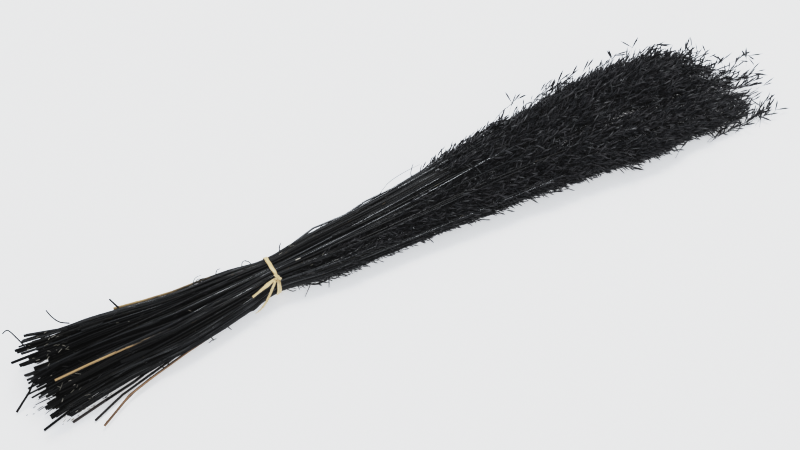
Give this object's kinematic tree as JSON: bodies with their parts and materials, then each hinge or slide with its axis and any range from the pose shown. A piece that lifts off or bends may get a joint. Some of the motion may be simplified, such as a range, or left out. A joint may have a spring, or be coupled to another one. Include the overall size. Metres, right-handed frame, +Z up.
{
  "type": "bunch of dried grass",
  "caption": "Bunch of dried, dyed ornamental grass, tied with a strand of raffia, lying on its side: cut straws fan out at one end and slender seed heads at the other.",
  "frame": {"origin": "on the surface that the bunch lies on, under the middle of its box", "axes": "+X along the bunch from the cut ends to the seed heads, +Z up, -Y the near side where the raffia tails lie"},
  "size_m": [0.7136, 0.1078, 0.0506],
  "materials": {
    "dyed_stem": "dyed straw, satin",
    "dyed_heads": "dyed seed heads, matt",
    "golden_straw": "undyed straw, satin",
    "tan_straw": "undyed straw, satin",
    "brown_straw": "half-dyed straw, matt",
    "raffia": "natural raffia fibre, matt"
  },
  "bodies": {
    "root": {"broken_stub": "dyed_stem", "brown_stem_1": "brown_straw", "brown_stem_2": "brown_straw", "golden_stem": "golden_straw", "grass_stem_01": "dyed_stem", "grass_stem_02": "dyed_stem", "grass_stem_03": "dyed_stem", "grass_stem_04": "dyed_stem", "grass_stem_05": "dyed_stem", "grass_stem_06": "dyed_stem", "grass_stem_07": "dyed_stem", "grass_stem_09": "dyed_stem", "grass_stem_10": "dyed_stem", "grass_stem_11": "dyed_stem", "grass_stem_12": "dyed_stem", "grass_stem_13": "dyed_stem", "grass_stem_14": "dyed_stem", "grass_stem_15": "dyed_stem", "grass_stem_16": "dyed_stem", "grass_stem_17": "dyed_stem", "grass_stem_19": "dyed_stem", "grass_stem_20": "dyed_stem", "grass_stem_21": "dyed_stem", "grass_stem_22": "dyed_stem", "grass_stem_23": "dyed_stem", "grass_stem_24": "dyed_stem", "grass_stem_25": "dyed_stem", "grass_stem_26": "dyed_stem", "grass_stem_27": "dyed_stem", "grass_stem_28": "dyed_stem", "grass_stem_31": "dyed_stem", "grass_stem_32": "dyed_stem", "packed_grass": "dyed_heads", "raffia_tie": "raffia", "stray_stem": "dyed_stem", "tan_stem": "tan_straw", "thin_stalk_1": "dyed_stem", "thin_stalk_2": "dyed_stem"}
  },
  "joints": []
}
